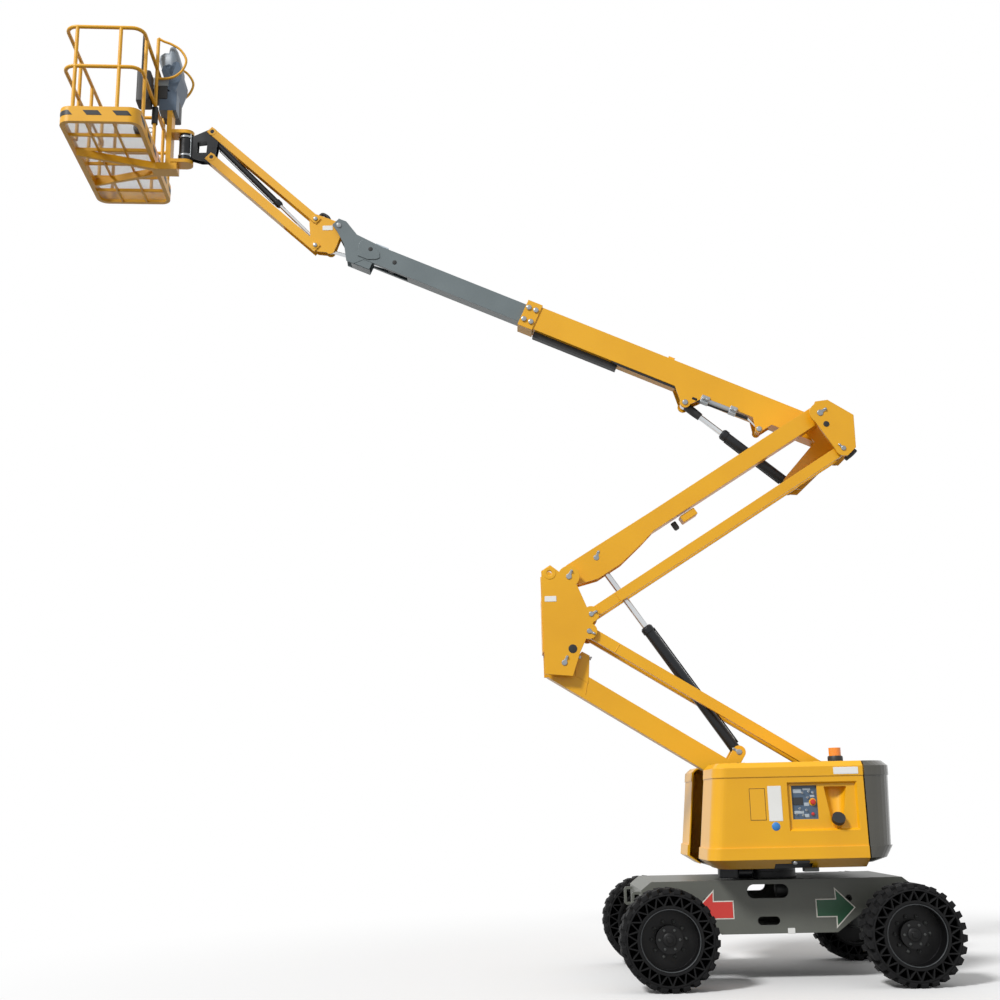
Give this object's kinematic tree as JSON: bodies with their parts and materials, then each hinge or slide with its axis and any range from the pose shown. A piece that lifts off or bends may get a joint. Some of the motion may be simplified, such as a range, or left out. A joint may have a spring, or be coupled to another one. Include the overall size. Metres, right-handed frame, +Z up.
{
  "type": "articulating boom lift",
  "caption": "Self-propelled articulating boom lift with folding arms, telescoping boom, levelled jib and a turning work basket on a wheeled chassis.",
  "frame": {"origin": "on the ground under the slew axis", "axes": "+X along the green drive arrow, +Y to the machine's left, +Z up; the boom reaches towards -X at rest"},
  "size_m": [8.5224, 2.3, 9.7764],
  "materials": {
    "yellow": "gloss",
    "yellow_alloy": "gloss",
    "yellow_moulding": "gloss",
    "chassis_grey": "satin",
    "dark_grey": "gloss",
    "frame_grey": "satin",
    "fly_grey": "satin",
    "black": "gloss",
    "rim_black": "satin",
    "tyre": "matte",
    "chrome": "polished",
    "engine": "matte",
    "panel": "matte",
    "black_plastic": "matte",
    "amber": "gloss",
    "mesh": "satin"
  },
  "bodies": {
    "chassis": {"chassis_frame": "chassis_grey", "steer_axle": "chassis_grey", "fixed_axle": "chassis_grey", "slew_ring": "black"},
    "steer_left": {"steer_knuckle_left": "black"},
    "steer_right": {"steer_knuckle_right": "black"},
    "wheel_steer_left": {"rim_steer_left": "rim_black", "tyre_steer_left": "tyre"},
    "wheel_steer_right": {"rim_steer_right": "rim_black", "tyre_steer_right": "tyre"},
    "wheel_fixed_left": {"rim_fixed_left": "rim_black", "tyre_fixed_left": "tyre"},
    "wheel_fixed_right": {"rim_fixed_right": "rim_black", "tyre_fixed_right": "tyre"},
    "turntable": {"turntable_frame": "frame_grey", "counterweight": "dark_grey", "engine_block": "engine"},
    "hood_left": {"hood_left": "yellow_moulding"},
    "hood_right": {"hood_right": "yellow_moulding", "control_panel": "panel", "filler_cap": "black_plastic", "beacon": "amber"},
    "lower_arm": {"lower_arm": "yellow"},
    "lower_links": {"lower_links": "yellow"},
    "mid_knuckle": {"mid_knuckle": "yellow"},
    "upper_arm": {"upper_arm": "yellow"},
    "upper_links": {"upper_links": "yellow"},
    "top_knuckle": {"top_knuckle": "yellow"},
    "arm_barrel": {"arm_barrel": "black"},
    "arm_rod": {"arm_rod": "chrome"},
    "main_boom": {"main_boom": "yellow", "hose_tray": "black_plastic"},
    "fly_boom": {"fly_boom": "fly_grey"},
    "boom_barrel": {"boom_barrel": "black"},
    "boom_rod": {"boom_rod": "chrome"},
    "level_barrel": {"level_barrel": "black"},
    "level_rod": {"level_rod": "chrome"},
    "jib_base": {"jib_base": "yellow"},
    "jib_arm": {"jib_arm": "yellow"},
    "jib_link": {"jib_link": "yellow"},
    "jib_head": {"jib_head": "black"},
    "jib_barrel": {"jib_barrel": "black"},
    "jib_rod": {"jib_rod": "chrome"},
    "basket": {"basket_mount": "yellow_alloy", "basket_floor": "yellow_alloy", "floor_mesh": "mesh", "guard_rail": "yellow_alloy", "console": "panel"},
    "gate": {"gate_bar": "yellow_alloy"}
  },
  "joints": [
    {"name": "slew", "type": "hinge", "parent": "chassis", "child": "turntable", "pos_m": [0, 0, 0.93], "axis": [0, 0, 1], "range_deg": [-177.5, 177.5]},
    {"name": "arm_lift", "type": "hinge", "parent": "turntable", "child": "lower_arm", "pos_m": [0.577, -0.13, 1.39], "axis": [0, 1, 0], "range_deg": [-32, 26]},
    {"name": "lower_link_follow", "type": "hinge", "parent": "turntable", "child": "lower_links", "pos_m": [0.827, -0.13, 1.69], "axis": [0, 1, 0], "range_deg": [-32.5, 26.5]},
    {"name": "knuckle_level", "type": "hinge", "parent": "lower_arm", "child": "mid_knuckle", "pos_m": [-1.83994, -0.13, 2.90027], "axis": [0, 1, 0], "range_deg": [-26.5, 32.5]},
    {"name": "upper_arm_follow", "type": "hinge", "parent": "mid_knuckle", "child": "upper_arm", "pos_m": [-1.76994, -0.13, 3.74027], "axis": [0, 1, 0], "range_deg": [-26.5, 32.5]},
    {"name": "upper_link_follow", "type": "hinge", "parent": "mid_knuckle", "child": "upper_links", "pos_m": [-1.56494, -0.13, 3.36527], "axis": [0, 1, 0], "range_deg": [-26.5, 32.5]},
    {"name": "top_level", "type": "hinge", "parent": "upper_arm", "child": "top_knuckle", "pos_m": [0.81661, -0.13, 5.35652], "axis": [0, 1, 0], "range_deg": [-32.5, 26.5]},
    {"name": "arm_barrel_tilt", "type": "hinge", "parent": "lower_arm", "child": "arm_barrel", "pos_m": [-0.19951, -0.13, 2.02497], "axis": [0, -1, 0], "range_deg": [-8.99, 7.4]},
    {"name": "arm_rod_slide", "type": "slide", "parent": "arm_barrel", "child": "arm_rod", "axis": [-0.5579, 0, 0.8299], "range_m": [-0.66405, 0.5401]},
    {"name": "boom_lift", "type": "hinge", "parent": "top_knuckle", "child": "main_boom", "pos_m": [1.01661, 0.18, 5.23152], "axis": [0, 1, 0], "range_deg": [-24.5, 45.5]},
    {"name": "boom_barrel_tilt", "type": "hinge", "parent": "top_knuckle", "child": "boom_barrel", "pos_m": [0.56961, 0.18, 4.73652], "axis": [0, -1, 0], "range_deg": [-43.21, 23.5]},
    {"name": "boom_rod_slide", "type": "slide", "parent": "boom_barrel", "child": "boom_rod", "axis": [-0.7602, 0, 0.6497], "range_m": [-0.2725, 0.50351]},
    {"name": "telescope", "type": "slide", "parent": "main_boom", "child": "fly_boom", "axis": [-0.91, 0, 0.4147], "range_m": [-1.62, 0.08]},
    {"name": "jib_level", "type": "hinge", "parent": "fly_boom", "child": "jib_base", "pos_m": [-4.11309, 0.18, 7.7374], "axis": [0, 1, 0], "range_deg": [-46, 25]},
    {"name": "level_barrel_tilt", "type": "hinge", "parent": "fly_boom", "child": "level_barrel", "pos_m": [-3.08956, 0.18, 7.08963], "axis": [0, -1, 0], "range_deg": [-2.36, 1.5]},
    {"name": "level_rod_slide", "type": "slide", "parent": "level_barrel", "child": "level_rod", "axis": [-0.9475, 0, 0.3197], "range_m": [-0.21093, 0.11496]},
    {"name": "jib_lift", "type": "hinge", "parent": "jib_base", "child": "jib_arm", "pos_m": [-4.37109, 0.18, 7.5184], "axis": [0, -1, 0], "range_deg": [-27, 113]},
    {"name": "jib_link_follow", "type": "hinge", "parent": "jib_base", "child": "jib_link", "pos_m": [-4.37109, 0.18, 7.8284], "axis": [0, -1, 0], "range_deg": [-27.5, 113.5]},
    {"name": "head_level", "type": "hinge", "parent": "jib_arm", "child": "jib_head", "pos_m": [-5.53248, 0.18, 8.60141], "axis": [0, -1, 0], "range_deg": [-113.5, 27.5]},
    {"name": "jib_barrel_tilt", "type": "hinge", "parent": "jib_head", "child": "jib_barrel", "pos_m": [-5.48848, 0.18, 8.79442], "axis": [0, -1, 0], "range_deg": [-28.29, 116.79]},
    {"name": "jib_rod_slide", "type": "slide", "parent": "jib_barrel", "child": "jib_rod", "axis": [0.6822, 0, -0.7311], "range_m": [-0.14494, 0.03692]},
    {"name": "basket_turn", "type": "hinge", "parent": "jib_head", "child": "basket", "pos_m": [-5.83048, 0.18, 8.60141], "axis": [0, 0, 1], "range_deg": [-94.4, 85.6]},
    {"name": "gate_slide", "type": "slide", "parent": "basket", "child": "gate", "axis": [0, 0, 1], "range_m": [0, 0.3]},
    {"name": "hood_left_open", "type": "hinge", "parent": "turntable", "child": "hood_left", "pos_m": [0, 0.385, 1.9], "axis": [1, 0, 0], "range_deg": [0, 62]},
    {"name": "hood_right_open", "type": "hinge", "parent": "turntable", "child": "hood_right", "pos_m": [0, -0.385, 1.9], "axis": [-1, 0, 0], "range_deg": [0, 62]},
    {"name": "steer", "type": "hinge", "parent": "chassis", "child": "steer_left", "pos_m": [-1.05, 0.745, 0.425], "axis": [0, 0, 1], "range_deg": [-28, 28]},
    {"name": "steer_right_follow", "type": "hinge", "parent": "chassis", "child": "steer_right", "pos_m": [-1.05, -0.745, 0.425], "axis": [0, 0, 1], "range_deg": [-28.5, 28.5]},
    {"name": "spin_steer_left", "type": "hinge", "parent": "steer_left", "child": "wheel_steer_left", "pos_m": [-1.05, 1, 0.425], "axis": [0, 1, 0], "continuous": true},
    {"name": "spin_steer_right", "type": "hinge", "parent": "steer_right", "child": "wheel_steer_right", "pos_m": [-1.05, -1, 0.425], "axis": [0, 1, 0], "continuous": true},
    {"name": "spin_fixed_left", "type": "hinge", "parent": "chassis", "child": "wheel_fixed_left", "pos_m": [1.05, 1, 0.425], "axis": [0, 1, 0], "continuous": true},
    {"name": "spin_fixed_right", "type": "hinge", "parent": "chassis", "child": "wheel_fixed_right", "pos_m": [1.05, -1, 0.425], "axis": [0, 1, 0], "continuous": true}
  ],
  "couplings": [
    {"joint": "lower_link_follow", "follows": "arm_lift", "ratio": 1},
    {"joint": "knuckle_level", "follows": "arm_lift", "ratio": -1},
    {"joint": "upper_arm_follow", "follows": "arm_lift", "ratio": -1},
    {"joint": "upper_link_follow", "follows": "arm_lift", "ratio": -1},
    {"joint": "top_level", "follows": "arm_lift", "ratio": 1},
    {"joint": "arm_barrel_tilt", "follows": "arm_lift", "ratio": 0.26538},
    {"joint": "arm_rod_slide", "follows": "arm_lift", "m_per_rad": 1.1836},
    {"joint": "boom_barrel_tilt", "follows": "boom_lift", "ratio": -0.93861},
    {"joint": "boom_rod_slide", "follows": "boom_lift", "m_per_rad": 0.63026},
    {"joint": "jib_level", "follows": "boom_lift", "ratio": -1},
    {"joint": "level_barrel_tilt", "follows": "boom_lift", "ratio": -0.04095},
    {"joint": "level_rod_slide", "follows": "boom_lift", "m_per_rad": -0.26183},
    {"joint": "jib_link_follow", "follows": "jib_lift", "ratio": 1},
    {"joint": "head_level", "follows": "jib_lift", "ratio": -1},
    {"joint": "jib_barrel_tilt", "follows": "jib_lift", "ratio": 1.0291},
    {"joint": "jib_rod_slide", "follows": "jib_lift", "m_per_rad": -0.07197},
    {"joint": "steer_right_follow", "follows": "steer", "ratio": 1}
  ]
}
